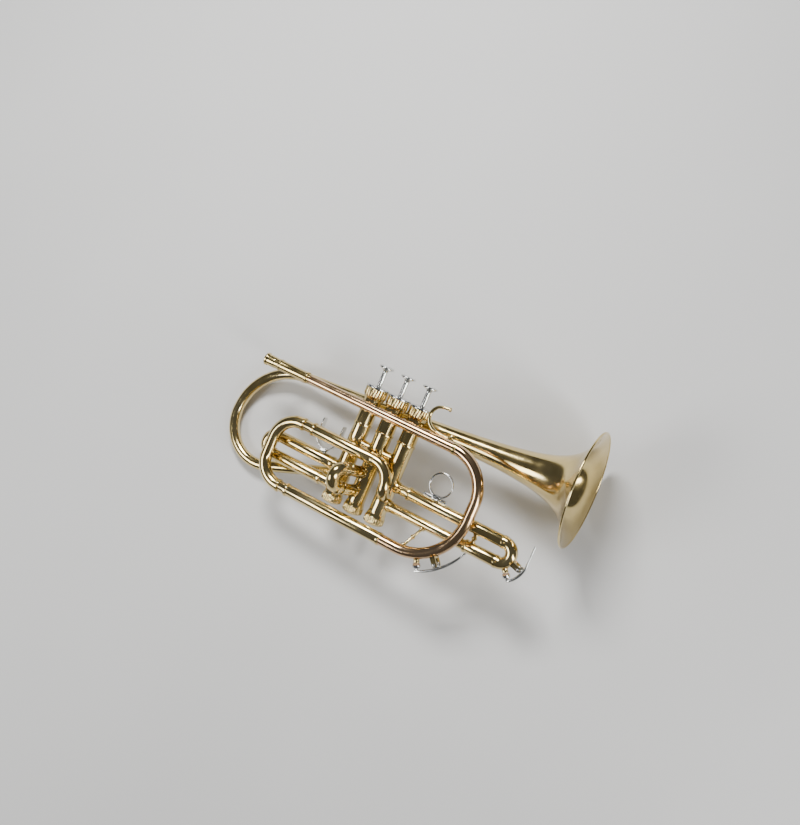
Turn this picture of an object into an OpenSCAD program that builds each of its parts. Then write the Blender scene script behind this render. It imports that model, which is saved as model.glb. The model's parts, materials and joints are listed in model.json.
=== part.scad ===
// B-flat cornet with a shepherd's-crook bell, three piston valves, four
// moving slides, an adjustable finger ring and two water keys.
//
// The design frame used by the modules (before lay()):
//   X points forward along the leadpipe to the bell, Y to the player's left,
//   Z up along the valves. Z = 0 is the top face of the valve caps, and the
//   axis of the second valve is X = 0, Y = 0.
// lay() turns the finished cornet onto its left side, as it rests on a table.

/* [Valve block] */
// Distance between neighbouring valve axes
valve_pitch = 25.5; // [24:0.1:28]
// Outside diameter of a valve casing
casing_od = 18; // [16:0.1:20]
// Bore of a valve casing
casing_id = 16; // [14:0.1:18]
// Diameter of a top cap
cap_od = 24.4; // [20:0.1:25]
// Height of a top cap
cap_h = 13.5; // [8:0.1:18]
// Diameter of a bottom cap
base_od = 21; // [18:0.1:24]
// Height of the whole casing with its bottom cap
casing_h = 126.5; // [110:0.5:135]
// Travel of a valve from rest to fully pressed
valve_stroke = 16.5; // [14:0.1:18]
// Diameter of a finger button
button_d = 15; // [12:0.1:18]
// Height of a button's top above the cap when its valve is pressed home
button_low = 5.2; // [3:0.1:8]
// Diameter of a valve stem
stem_d = 5; // [4:0.1:6]

/* [Main tubing] */
// Sideways position of the leadpipe, main bow and tuning slide
main_y = -15.6; // [-20:0.1:-14]
// Height of the leadpipe's axis
lead_z = -21.2; // [-30:0.1:-16]
// Height of the lower main tube's axis
low_z = -133.2; // [-145:0.1:-125]
// Height of the upper tuning tube's axis
tune_z = -65.3; // [-75:0.1:-55]
// X of the receiver's mouth
receiver_x = -146.5; // [-160:0.5:-135]
// Outside diameter of the tuning and slide sleeves
sleeve_od = 12.4; // [11:0.1:14]
// Outside diameter of the inner slide legs
leg_od = 11; // [10:0.1:13]
// Wall of the thin tubes
wall = 0.6; // [0.4:0.05:1]
// Furthest reach of the main bow's centre line
bow_x = 118.5; // [100:0.5:130]
// Radius of the bow's upper quarter
bow_r_top = 40; // [30:0.5:55]
// Radius of the bow's lower quarter
bow_r_low = 56; // [45:0.5:70]

/* [Valve slides] */
// Heights of the first slide's two tubes
first_z = [-90.2, -109.6];
// Heights of the second slide's two tubes
second_z = [-83.5, -103.7];
// Swing of the second slide towards the player
second_swing = 21; // [0:1:40]
// Heights of the third slide's two tubes
third_z = [-82.7, -103];
// X of the first slide's bow centre
first_x = -107.5; // [-120:0.5:-95]
// X of the third slide's bow centre
third_x = 157; // [140:0.5:170]
// Radius of the finger ring's centre line
ring_r = 11.9; // [9:0.1:14]

/* [Bell] */
// Outside diameter of the bell rim
bell_d = 119; // [110:0.5:130]
// X of the bell rim before the upward tilt
bell_x = 200; // [180:1:220]
// Sideways position of the bell's axis
bell_y = 25; // [20:0.5:32]
// Height of the crook's top on the bell's axis
crook_z = -26.4; // [-32:0.1:-20]
// Upward tilt of the bell against the leadpipe
bell_tilt = 3.3; // [0:0.1:5]
// Rate at which the bell narrows behind the rim
flare_power = 0.718; // [0.5:0.001:0.9]
// Radius of the crook's upper quarter
crook_r_top = 60.5; // [50:0.5:70]
// Radius of the crook's lower quarter
crook_r_low = 44.2; // [35:0.1:60]
// Sideways lean of the crook
crook_lean = 5.4; // [0:0.1:12]
// Outside diameter of the crook
crook_od = 11.6; // [11:0.1:13]
// Slope of the crook's tail as it rises to the first valve
tail_rise = 20; // [10:0.5:25]

/* [Resting position] */
// Roll about the bell's direction once laid on the left side
rest_roll = 10.11; // [-20:0.01:20]
// Rise of the bell end once laid on the left side
rest_rise = 7.02; // [-20:0.01:20]
// Shift that brings the footprint's centre to the origin
rest_shift = [-18.34, 44.88, 62.14];

/* [Hidden] */
$fn = 48;
fit_gap = 0.3;
pin_gap = 0.06;
sleeve_id = leg_od + 2 * fit_gap;
bow_od = sleeve_id;
lead_x = -94;
valve_xs = [-valve_pitch, 0, valve_pitch];
knuckle_z = -60;
casing_z = 2 - casing_h;
button_z = valve_stroke + button_low;

// Main bow: centres of its two quarters, as [x, z]
low_c = [bow_x - bow_r_low, low_z + bow_r_low];
top_c = [bow_x - bow_r_top, lead_z - bow_r_top];

// Tuning slide
tune_x = -80;
tune_r = 24.5;
elbow_r = 20.5;
elbow_turn = 9;

// Valve slides: half the spacing and the mid height of each pair of tubes
first_r = (first_z[0] - first_z[1]) / 2;
first_mid = (first_z[0] + first_z[1]) / 2;
second_r = (second_z[0] - second_z[1]) / 2;
second_mid = (second_z[0] + second_z[1]) / 2;
third_r = (third_z[0] - third_z[1]) / 2;
third_mid = (third_z[0] + third_z[1]) / 2;
third_c = [third_x, third_mid];
rail_z = third_z[0] + 8.1;

// Crook and bell, in the crook's own plane: x forward, w downward
crook_x = -174.2;
crook_top = [crook_x + crook_r_top, crook_r_top];
crook_low = [crook_x + crook_r_low, crook_r_top];
bell_from = [crook_top[0] - crook_r_top * sin(bell_tilt),
             crook_r_top * (1 - cos(bell_tilt))];
bell_len = (bell_x - bell_from[0]) / cos(bell_tilt);
rim_wire = 2.4;
bell_r = bell_d / 2 - 1.5;
flare = 12.6;
tail_r = 40;
turn_r = 9.5;
// Hairline gap, in degrees, where two bends of the crook butt
seam = 0.02;
tail_from = [crook_low[0] + crook_r_low * sin(tail_rise),
             crook_low[1] + crook_r_low * cos(tail_rise)];
tail_run = -valve_pitch - turn_r - tail_r * sin(tail_rise) - tail_from[0];
tail_end = [-valve_pitch - turn_r,
            tail_from[1] - tail_run * tan(tail_rise)
            - tail_r * (1 - cos(tail_rise))];

// Water keys: distances outward from the tube's outside
nipple_h = 3.5;
pad_h = 3.8;
pivot_h = 7.4;
lever_h = 11.4;
key_pin_d = 2;

// One water key: [bend's centre, y, bend's outside radius, pivot's angle,
// pad's angle, angle of the lever's end, tube's outside diameter]
main_key = [low_c, main_y, bow_r_low + bow_od / 2, -49, -66, -26, bow_od];
third_key = [third_c, 0, third_r + sleeve_od / 2, -16, -53, 5, sleeve_od];

// Which node to draw

// ---------------------------------------------------------------- helpers

// Turns the design frame onto the table.
module lay() {
    translate(rest_shift)
        rotate([rest_roll, -rest_rise, 0])
            rotate([-90, 0, 0])
                children();
}

// Section of a tube, or of a solid bar when the inner diameter is 0.
module ring2d(od, id) {
    difference() {
        circle(d = od);
        if (id > 0)
            circle(d = id);
    }
}

// Straight tube along X.
module tube_x(x0, x1, y, z, od, id) {
    translate([x0, y, z])
        rotate([0, 90, 0])
            linear_extrude(x1 - x0)
                ring2d(od, id);
}

// Straight tube along Z.
module tube_z(z0, z1, x, y, od, id) {
    translate([x, y, z0])
        linear_extrude(z1 - z0)
            ring2d(od, id);
}

// Tube bend in the X-Z plane about c = [x, z], from angle a0 to a1.
module bend_xz(c, y, r, a0, a1, od, id) {
    translate([c[0], y, c[1]])
        rotate([90, 0, 0])
            rotate([0, 0, a0])
                rotate_extrude(angle = a1 - a0)
                    translate([r, 0])
                        ring2d(od, id);
}

// Round bar from point a to point b.
module bar(a, b, d) {
    v = b - a;
    translate(a)
        rotate([0, acos(v[2] / norm(v)), atan2(v[1], v[0])])
            cylinder(d = d, h = norm(v));
}

// Solid bar the size of valve casing i, used to trim what meets it.
module casing_core(i) {
    tube_z(-casing_h, 0, valve_xs[i], 0, casing_od, 0);
}

// Turns children to angle a about c = [x, z], so that their Z axis points
// outwards and measures the distance from c.
module at_angle(c, y, a) {
    translate([c[0], y, c[1]])
        rotate([0, 90 - a, 0])
            children();
}

// ------------------------------------------------------------ main tubing

module mouthpiece_receiver() {
    color("goldenrod")
        lay()
            translate([receiver_x, main_y, lead_z])
                rotate([0, 90, 0])
                    rotate_extrude()
                        polygon([[5.2, 0], [5.8, 0], [6.5, 0.7], [6.5, 2.4],
                                 [5.9, 3.6], [5.75, 11.5], [5.5, 12],
                                 [5.5, 17.2], [6.1, 17.6], [6.1, 19.4],
                                 [5.5, 19.8], [5.5, 49.8], [6.1, 50.2],
                                 [6.1, 52.5], [4.3, 52.5], [4.3, 24],
                                 [4.8, 24], [4.8, 0.5]]);
}

// Outside of the leadpipe, a long cone.
module leadpipe_core() {
    translate([lead_x, main_y, lead_z])
        rotate([0, 90, 0])
            cylinder(d1 = 8.6, d2 = 10.8, h = top_c[0] - lead_x);
}

// Tapered pipe from the receiver to the bow, with its end ring.
module leadpipe() {
    color("peru")
        lay()
            difference() {
                union() {
                    leadpipe_core();
                    tube_x(lead_x, lead_x + 2.5, main_y, lead_z, 9.8, 0);
                }
                translate([lead_x - 1, main_y, lead_z])
                    rotate([0, 90, 0])
                        cylinder(d1 = 7.4, d2 = 9.6,
                                 h = top_c[0] - lead_x + 2);
            }
}

module main_bow() {
    id = bow_od - 2 * wall;
    color("peru")
        lay()
            difference() {
                union() {
                    bend_xz(top_c, main_y, bow_r_top, 0, 90, bow_od, id);
                    tube_z(low_c[1], top_c[1], bow_x, main_y, bow_od, id);
                    bend_xz(low_c, main_y, bow_r_low, -90, 0, bow_od, id);
                    tube_x(37, low_c[0], main_y, low_z, bow_od, id);
                }
                at_angle(low_c, main_y, main_key[4])
                    translate([0, 0, bow_r_low])
                        cylinder(d = 2.5, h = bow_od);
            }
}

// Outer tuning tube with an end ring.
module tuning_sleeve(x0, x1, z) {
    tube_x(x0 + 2.6, x1, main_y, z, sleeve_od, sleeve_id);
    tube_x(x0, x0 + 2.6, main_y, z, sleeve_od + 1.4, sleeve_id);
}

module tuning_sleeve_upper() {
    color("goldenrod")
        lay() {
            tuning_sleeve(-66.8, 7, tune_z);
            tube_x(4.4, 7, main_y, tune_z, sleeve_od + 1.2, sleeve_od);
        }
}

module tuning_sleeve_lower() {
    color("goldenrod")
        lay() {
            tuning_sleeve(-69, 45.5, low_z);
            tube_x(42.5, 45.5, main_y, low_z, sleeve_od + 1.2, sleeve_od);
        }
}

// Tube that leads from the tuning slide into the third valve.
module inlet_elbow() {
    id = sleeve_od - 2 * wall;
    x = 7 + elbow_r;
    z = tune_z - elbow_r;
    y = main_y + elbow_turn;
    color("goldenrod")
        lay()
            difference() {
                union() {
                    bend_xz([7, z], main_y, elbow_r, 0, 90, sleeve_od, id);
                    translate([x, y, z])
                        rotate([90, 0, 90])
                            rotate([0, 0, 180])
                                rotate_extrude(angle = 90)
                                    translate([elbow_turn, 0])
                                        ring2d(sleeve_od, id);
                    translate([x, y, z - elbow_turn])
                        rotate([-90, 0, 0])
                            linear_extrude(-y)
                                ring2d(sleeve_od, id);
                }
                casing_core(2);
            }
}

// Short stays that hold the leadpipe to the first and third casings.
module leadpipe_stays() {
    color("goldenrod")
        lay()
            difference() {
                for (i = [0, 2])
                    bar([valve_xs[i], main_y + 3.5, lead_z],
                        [valve_xs[i], 0, lead_z], 4);
                for (i = [0, 2])
                    casing_core(i);
                leadpipe_core();
            }
}

// Little finger's hook, soldered along the top of the leadpipe.
module pinky_hook() {
    wire = 3;
    r = 9;
    stem_x = 41.5;
    y = main_y + 1.6;
    tip = [stem_x + r * 1.9, y, r + 1.6];
    color("silver")
        lay()
            difference() {
                union() {
                    translate([stem_x - 1.5, y - 2, lead_z + 2.5])
                        cube([24, 4, 5.2]);
                    tube_z(lead_z + 7, 0, stem_x, y, wire, 0);
                    bend_xz([stem_x + r, 0], y, r, 90, 180, wire, 0);
                    bar([stem_x + r, y, r], tip, wire);
                    translate(tip)
                        sphere(d = wire + 1.2);
                }
                leadpipe_core();
            }
}

// ------------------------------------------------------------ valve block

// Casing i with a port towards each [x, y, z] of the list.
module valve_casing(i, ports) {
    color("goldenrod")
        lay()
            translate([valve_xs[i], 0, 0])
                difference() {
                    union() {
                        tube_z(casing_z, -2, 0, 0, casing_od, 0);
                        tube_z(-41.6, -39.4, 0, 0, casing_od + 1.4, 0);
                    }
                    tube_z(casing_z - 1, 0, 0, 0, casing_id, 0);
                    for (p = ports)
                        bar([0, 0, p[2]], p, 10);
                }
}

module valve_casing_1() {
    valve_casing(0, [[-12, 0, first_z[0]], [-12, 0, first_z[1]],
                     [12, 0, knuckle_z], [0, 12, -100.5]]);
}

module valve_casing_2() {
    s = -12 * sin(second_swing);
    c = -12 * cos(second_swing);
    valve_casing(1, [[s, c, second_z[0]], [s, c, second_z[1]],
                     [-12, 0, knuckle_z], [12, 0, knuckle_z]]);
}

module valve_casing_3() {
    valve_casing(2, [[12, 0, third_z[0]], [12, 0, third_z[1]],
                     [-12, 0, knuckle_z],
                     [2, -12, tune_z - elbow_r - elbow_turn]]);
}

module casing_knuckles() {
    color("goldenrod")
        lay()
            difference() {
                for (i = [0, 1])
                    tube_x(valve_xs[i], valve_xs[i + 1], 0, knuckle_z,
                           11.6, 10);
                for (i = [0:2])
                    casing_core(i);
            }
}

// Outline of a grip with n vertical flutes.
function flutes(r, n, depth) =
    [for (k = [0:2 * n - 1])
        (r - (k % 2) * depth) * [cos(180 * k / n), sin(180 * k / n)]];

module top_cap(i) {
    r = cap_od / 2;
    grip = r - 0.5;
    color("goldenrod")
        lay()
            translate([valve_xs[i], 0, 0])
                difference() {
                    union() {
                        translate([0, 0, -2.4])
                            cylinder(r1 = r, r2 = r - 0.4, h = 2.4);
                        translate([0, 0, -10.5])
                            linear_extrude(8.1)
                                polygon(flutes(grip, 32, 0.5));
                        translate([0, 0, -cap_h])
                            cylinder(r1 = r - 2.2, r2 = grip - 0.6, h = 3);
                    }
                    tube_z(-cap_h - 1, -2, 0, 0, casing_od, 0);
                    tube_z(-3, 1, 0, 0, stem_d + 2 * fit_gap, 0);
                }
}

module top_cap_1() { top_cap(0); }
module top_cap_2() { top_cap(1); }
module top_cap_3() { top_cap(2); }

module bottom_cap(i) {
    r = base_od / 2;
    color("goldenrod")
        lay()
            translate([valve_xs[i], 0, -casing_h])
                difference() {
                    union() {
                        cylinder(r1 = r - 1.5, r2 = r - 0.5, h = 1.6);
                        translate([0, 0, 1.6])
                            linear_extrude(6.4)
                                polygon(flutes(r, 28, 0.45));
                        translate([0, 0, 8])
                            cylinder(r1 = r - 0.5, r2 = r - 1.2, h = 4);
                    }
                    tube_z(2, 13, 0, 0, casing_od, 0);
                    tube_z(-1, 3, 0, 0, 3, 0);
                }
}

module bottom_cap_1() { bottom_cap(0); }
module bottom_cap_2() { bottom_cap(1); }
module bottom_cap_3() { bottom_cap(2); }

// Piston with its cross passages, hollow from below.
module valve_piston(i) {
    d = casing_id - 2 * fit_gap;
    z0 = -105;
    color("silver")
        lay()
            translate([valve_xs[i], 0, 0])
                difference() {
                    tube_z(z0, -28, 0, 0, d, 0);
                    tube_z(z0 - 1, z0 + 5, 0, 0, d - 3, 0);
                    for (k = [0:2])
                        translate([0, 0, -62 - 15 * k])
                            rotate([0, 90, 40 * k + 20 * i])
                                cylinder(d = 9, h = 30, center = true);
                }
}

module valve_piston_1() { valve_piston(0); }
module valve_piston_2() { valve_piston(1); }
module valve_piston_3() { valve_piston(2); }

// Stem and button cup in one turned piece, with a seat for the pearl.
module valve_stem(i) {
    r = button_d / 2;
    h = button_z;
    s = stem_d / 2;
    color("gainsboro")
        lay()
            translate([valve_xs[i], 0, 0])
                rotate_extrude()
                    polygon([[0, -28], [s, -28], [s, h - 5],
                             [s + 0.6, h - 4], [3.9, h - 3],
                             [r - 1.2, h - 2.6], [r, h - 1.6], [r, h - 0.6],
                             [r - 0.4, h], [r - 1.4, h], [r - 1.8, h - 0.9],
                             [0, h - 0.9]]);
}

module valve_stem_1() { valve_stem(0); }
module valve_stem_2() { valve_stem(1); }
module valve_stem_3() { valve_stem(2); }

module button_pearl(i) {
    r = button_d / 2 - 1.8;
    color("white")
        lay()
            translate([valve_xs[i], 0, button_z - 0.9])
                rotate_extrude()
                    polygon([[0, 0], [r, 0], [r, 0.4], [r * 0.8, 0.8],
                             [r * 0.4, 1.05], [0, 1.1]]);
}

module button_pearl_1() { button_pearl(0); }
module button_pearl_2() { button_pearl(1); }
module button_pearl_3() { button_pearl(2); }

// ------------------------------------------------------------ tuning slide

module tuning_crook() {
    id = sleeve_od - 2 * wall;
    up = tune_z - tune_r;
    low = low_z + tune_r;
    color("goldenrod")
        lay() {
            bend_xz([tune_x, up], main_y, tune_r, 90, 180, sleeve_od, id);
            tube_z(low, up, tune_x - tune_r, main_y, sleeve_od, id);
            bend_xz([tune_x, low], main_y, tune_r, 180, 270, sleeve_od, id);
            for (z = [tune_z, low_z])
                tube_x(tune_x, tune_x + 3, main_y, z, sleeve_od + 1.2,
                       leg_od);
        }
}

module tuning_legs() {
    color("silver")
        lay()
            for (z = [tune_z, low_z])
                tube_x(tune_x, tune_x + 66, main_y, z, leg_od, leg_od - 1);
}

// ------------------------------------------------------------- first slide

module first_slide_tubes() {
    color("silver")
        lay()
            difference() {
                for (z = first_z)
                    tube_x(-98, valve_xs[0], 0, z, leg_od, leg_od - 1);
                casing_core(0);
            }
}

module first_slide_crook() {
    color("goldenrod")
        lay() {
            bend_xz([first_x, first_mid], 0, first_r, 90, 270, sleeve_od,
                    sleeve_id);
            for (z = first_z)
                tube_x(first_x, first_x + 3, 0, z, sleeve_od + 1.2,
                       sleeve_od);
        }
}

module first_slide_sleeves() {
    ends = [-38.5, -45];
    color("goldenrod")
        lay()
            for (k = [0, 1]) {
                tube_x(first_x, ends[k] - 2.6, 0, first_z[k], sleeve_od,
                       sleeve_id);
                tube_x(ends[k] - 2.6, ends[k], 0, first_z[k],
                       sleeve_od + 1.4, sleeve_id);
            }
}

// U-shaped thumb rest soldered to the upper sleeve.
module thumb_saddle() {
    x = -54;
    z = -68.2;
    r = 12.5;
    t = 1.2;
    w = 9;
    color("silver")
        lay()
            difference() {
                union() {
                    translate([x, 0, z])
                        rotate([90, 0, 0])
                            rotate([0, 0, 180])
                                rotate_extrude(angle = 180)
                                    translate([r - t, -w / 2])
                                        square([t, w]);
                    for (side = [-r, r - t])
                        translate([x + side, -w / 2, z])
                            cube([t, w, 16.5]);
                    translate([x - 6, -3, first_z[0] + 4])
                        cube([12, 6, 6.4]);
                }
                tube_x(x - 20, x + 20, 0, first_z[0], sleeve_od, 0);
                translate([x, w, z])
                    rotate([90, 0, 0])
                        cylinder(r = r - t, h = 2 * w);
            }
}

// ------------------------------------------------------------ second slide

// Turns +X into the second slide's outward direction.
module second_way() {
    rotate([0, 0, -90 - second_swing])
        children();
}

module second_slide_sleeves() {
    color("goldenrod")
        lay()
            difference() {
                second_way()
                    for (z = second_z) {
                        tube_x(4, 25, 0, z, sleeve_od, sleeve_id);
                        tube_x(25, 27.5, 0, z, sleeve_od + 1.4, sleeve_id);
                    }
                casing_core(1);
            }
}

module second_slide_legs() {
    color("silver")
        lay()
            second_way()
                for (z = second_z)
                    tube_x(12, 34, 0, z, leg_od, leg_od - 1);
}

module second_slide_crook() {
    color("goldenrod")
        lay()
            second_way() {
                bend_xz([34, second_mid], 0, second_r, -90, 90, sleeve_od,
                        sleeve_od - 2 * wall);
                for (z = second_z)
                    tube_x(31, 34, 0, z, sleeve_od + 1.2, leg_od);
            }
}

// ------------------------------------------------------------- third slide

module third_slide_tubes() {
    color("goldenrod")
        lay()
            difference() {
                for (z = third_z)
                    tube_x(valve_xs[2], third_x - 2, 0, z, leg_od,
                           leg_od - 1);
                casing_core(2);
            }
}

module third_slide_crook() {
    color("goldenrod")
        lay()
            difference() {
                union() {
                    bend_xz(third_c, 0, third_r, -90, 90, sleeve_od,
                            sleeve_id);
                    for (z = third_z)
                        tube_x(third_x - 3, third_x, 0, z, sleeve_od + 1.2,
                               sleeve_od);
                }
                at_angle(third_c, 0, third_key[4])
                    translate([0, 0, third_r])
                        cylinder(d = 2.5, h = sleeve_od);
            }
}

module third_slide_sleeves() {
    starts = [48, 121];
    brace_x = 127.5;
    color("goldenrod")
        lay()
            difference() {
                union() {
                    for (k = [0, 1]) {
                        tube_x(starts[k], third_x, 0, third_z[k], sleeve_od,
                               0);
                        tube_x(starts[k], starts[k] + 2.6, 0, third_z[k],
                               sleeve_od + 1.4, 0);
                    }
                    tube_z(third_z[1], third_z[0], brace_x, 0, 3.4, 0);
                    tube_z(third_z[1] + 5, third_z[1] + 7.4, brace_x, 0, 6,
                           0);
                    tube_z(third_z[0] - 7.4, third_z[0] - 5, brace_x, 0, 6,
                           0);
                }
                for (z = third_z)
                    tube_x(starts[0] - 1, third_x + 1, 0, z, sleeve_id, 0);
            }
}

// T-shaped rail on the upper sleeve, which holds the finger ring.
module third_slide_rail() {
    color("silver")
        lay()
            difference() {
                translate([62, 0, 0]) {
                    translate([0, -0.8, third_z[0] + 4])
                        cube([26, 1.6, 5]);
                    translate([0, -1.7, rail_z])
                        cube([26, 3.4, 1.4]);
                }
                tube_x(55, 95, 0, third_z[0], sleeve_od, 0);
            }
}

module finger_ring() {
    x = 75.8;
    wire = 2.2;
    foot_z = rail_z - 1.5;
    z = rail_z + ring_r + 1.6;
    color("silver")
        lay()
            difference() {
                union() {
                    bend_xz([x, z], 0, ring_r, 0, 360, wire, 0);
                    translate([x - 3, -3.2, foot_z])
                        cube([6, 6.4, 4.8]);
                    translate([x, -3.2, rail_z + 0.8])
                        rotate([90, 0, 0])
                            cylinder(d = 3.2, h = 2.6);
                }
                translate([x - 10, -1.7 - fit_gap, rail_z - fit_gap])
                    cube([20, 3.4 + 2 * fit_gap, 1.4 + 2 * fit_gap]);
                translate([x - 4, -0.8 - fit_gap, foot_z - 1])
                    cube([8, 1.6 + 2 * fit_gap, 2.4]);
            }
}

// -------------------------------------------------------------- water keys

// Nipple, pivot ears and pin of key k, trimmed to the bend's outside.
module key_mount(k) {
    r = k[2];
    difference() {
        union() {
            at_angle(k[0], k[1], k[4])
                translate([0, 0, r - 1.5])
                    linear_extrude(nipple_h + 1.5)
                        ring2d(6, 2.5);
            at_angle(k[0], k[1], k[3]) {
                translate([-2.5, -6, r - 2])
                    cube([5, 12, 4]);
                for (y = [-6, 4.8])
                    translate([-2.5, y, r])
                        cube([5, 1.2, pivot_h]);
                for (y = [-6, 4.8])
                    translate([0, y, r + pivot_h])
                        rotate([-90, 0, 0])
                            cylinder(d = 5, h = 1.2);
                translate([0, -6.6, r + pivot_h])
                    rotate([-90, 0, 0])
                        cylinder(d = key_pin_d, h = 13.2);
            }
        }
        bend_xz(k[0], k[1], r - k[6] / 2, k[4] - 25, k[3] + 25, k[6], 0);
    }
}

// Lever of key k: pad cup, curved arm, pivot barrel. Children add its end.
module key_lever(k) {
    r = k[2];
    arm = r + lever_h;
    difference() {
        union() {
            translate([k[0][0], k[1], k[0][1]])
                rotate([90, 0, 0])
                    rotate([0, 0, k[4]])
                        rotate_extrude(angle = k[5] - k[4])
                            translate([arm - 0.9, -1.7])
                                square([1.8, 3.4]);
            at_angle(k[0], k[1], k[4]) {
                translate([0, 0, r + pad_h + 1.8])
                    cylinder(r1 = 4.5, r2 = 3.6, h = 2.6);
                translate([0, 0, r + pad_h + 4])
                    cylinder(d = 3.4, h = arm - r - pad_h - 4);
            }
            at_angle(k[0], k[1], k[3]) {
                translate([0, -4.5, r + pivot_h])
                    rotate([-90, 0, 0])
                        cylinder(d = 4.6, h = 9);
                translate([-1.8, -1.7, r + pivot_h])
                    cube([3.6, 3.4, arm - r - pivot_h]);
            }
            children();
        }
        at_angle(k[0], k[1], k[3])
            translate([0, -5, r + pivot_h])
                rotate([-90, 0, 0])
                    cylinder(d = key_pin_d + 2 * pin_gap, h = 10);
        at_angle(k[0], k[1], k[4])
            translate([0, 0, r + pad_h])
                cylinder(d = 7, h = 2.6);
    }
}

module key_cork(k) {
    at_angle(k[0], k[1], k[4])
        translate([0, 0, k[2] + pad_h])
            cylinder(d = 7, h = 2.6);
}

module water_key_mount() {
    color("silver") lay() key_mount(main_key);
}

module water_key_lever() {
    color("silver")
        lay()
            key_lever(main_key)
                at_angle(low_c, main_y, main_key[5])
                    translate([0, 0, main_key[2] + lever_h - 0.9])
                        cylinder(d = 6.4, h = 1.8);
}

module water_key_cork() {
    color("tan") lay() key_cork(main_key);
}

module third_key_mount() {
    color("silver") lay() key_mount(third_key);
}

module third_key_lever() {
    arm = third_key[2] + lever_h;
    x = third_x + arm * cos(third_key[5]);
    z = third_mid + arm * sin(third_key[5]);
    top = third_z[0] + 9;
    color("silver")
        lay()
            key_lever(third_key)
                translate([x - 1.2, -2, z - 0.6])
                    cube([2.4, 4, top - z]);
}

module third_key_cork() {
    color("tan") lay() key_cork(third_key);
}

// ---------------------------------------------------------- crook and bell

// Lays the X-Y plane onto the crook's leaning plane, with +Y downwards.
module crook_plane() {
    translate([0, bell_y, crook_z])
        rotate([-crook_lean, 0, 0])
            rotate([-90, 0, 0])
                children();
}

// Puts the bell's axis on Z, with the crook's end at the origin.
module bell_axis() {
    crook_plane()
        translate([bell_from[0], bell_from[1], 0])
            rotate([0, 0, -bell_tilt])
                rotate([0, 90, 0])
                    children();
}

module plane_bend(c, r, a0, a1, od, id) {
    translate([c[0], c[1], 0])
        rotate([0, 0, a0])
            rotate_extrude(angle = a1 - a0)
                translate([r, 0])
                    ring2d(od, id);
}

// Upper quarter of the crook, next to the bell.
module crook_quarter(od, id) {
    plane_bend(crook_top, crook_r_top, 180, 270 - bell_tilt, od, id);
}

// The rest of the crook, round to the first valve, as lengths of tube that
// butt with a hairline seam.
module crook_tail(od, id) {
    plane_bend(crook_low, crook_r_low, 90 - tail_rise + seam, 180 - seam,
               od, id);
    translate([tail_from[0], tail_from[1], 0])
        rotate([0, 0, -tail_rise])
            rotate([0, 90, 0])
                linear_extrude(tail_run / cos(tail_rise))
                    ring2d(od, id);
    plane_bend([tail_end[0], tail_end[1] + tail_r], tail_r,
               270 - tail_rise + seam, 270 - seam, od, id);
    translate([tail_end[0], tail_end[1], -turn_r])
        rotate([90, 0, 0])
            rotate_extrude(angle = 90)
                translate([turn_r, 0])
                    ring2d(od, id);
    translate([tail_end[0] + turn_r, tail_end[1], -turn_r - 8])
        linear_extrude(8)
            ring2d(od, id);
}

module bell_crook() {
    color("goldenrod")
        lay()
            difference() {
                crook_plane() {
                    crook_quarter(crook_od, crook_od - 2 * wall);
                    crook_tail(crook_od, crook_od - 2 * wall);
                }
                casing_core(0);
            }
}

module bell_ferrule() {
    color("goldenrod")
        lay()
            difference() {
                bell_axis()
                    translate([0, 0, -3])
                        cylinder(d = crook_od + 1.4, h = 3);
                crook_plane()
                    crook_quarter(crook_od, 0);
            }
}

// Radius of the bell at distance s behind its rim, and its slope there.
function bell_radius(s) = bell_r * pow(flare / (s + flare), flare_power);
function bell_slope(s) = -flare_power * bell_radius(s) / (s + flare);

// Points of the bell's outside, t = 0, or inside, t = wall, as [r, z].
function bell_points(t, n = 36) =
    [for (i = [0:n])
        let (s = bell_len * pow(i / n, 2),
             m = bell_slope(s),
             q = sqrt(1 + m * m))
            [bell_radius(s) - t / q, bell_len - s - t * m / q]];

module rim_torus() {
    translate([0, 0, bell_len])
        rotate_extrude()
            translate([(bell_d - rim_wire) / 2, 0])
                circle(d = rim_wire);
}

module bell_solid() {
    rotate_extrude()
        polygon(concat(bell_points(0), [[0, 0], [0, bell_len]]));
}

function backwards(v) = [for (i = [len(v) - 1:-1:0]) v[i]];

module bell() {
    color("goldenrod")
        lay()
            bell_axis()
                difference() {
                    rotate_extrude()
                        polygon(concat(bell_points(0),
                                       backwards(bell_points(wall))));
                    rim_torus();
                }
}

module bell_rim() {
    color("goldenrod") lay() bell_axis() rim_torus();
}

// ------------------------------------------------------------------ braces

// Rod with a round foot at each end.
module brace(a, b, d, foot_a, foot_b) {
    u = (b - a) / norm(b - a);
    bar(a, b, d);
    bar(a, a + foot_a * u, d + 4);
    bar(b - foot_b * u, b, d + 4);
}

module receiver_brace() {
    x = -124;
    color("goldenrod")
        lay()
            difference() {
                brace([x, main_y, lead_z], [x, bell_y, crook_z - 1.3], 3,
                      7.2, 7.4);
                tube_x(x - 9, x + 9, main_y, lead_z, leg_od, 0);
                tube_x(x - 9, receiver_x + 19.8, main_y, lead_z, 12.2, 0);
                crook_plane()
                    crook_quarter(crook_od, 0);
            }
}

module bell_brace() {
    x = 60;
    color("goldenrod")
        lay()
            difference() {
                brace([x, main_y, lead_z], [x, bell_y + 1, -16.4], 3, 6.8,
                      11.2);
                leadpipe_core();
                bell_axis()
                    bell_solid();
            }
}

// Diagonal rod between the third slide and the main bow.
module lower_brace() {
    color("goldenrod")
        lay()
            difference() {
                brace([78, 0, third_z[1]], [67, main_y, low_z + 0.4], 3,
                      7.2, 7.4);
                tube_x(60, 95, 0, third_z[1], leg_od, 0);
                tube_x(50, low_c[0], main_y, low_z, bow_od, 0);
                bend_xz(low_c, main_y, bow_r_low, -90, -60, bow_od, 0);
            }
}

// -------------------------------------------------------------------- draw

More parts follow.
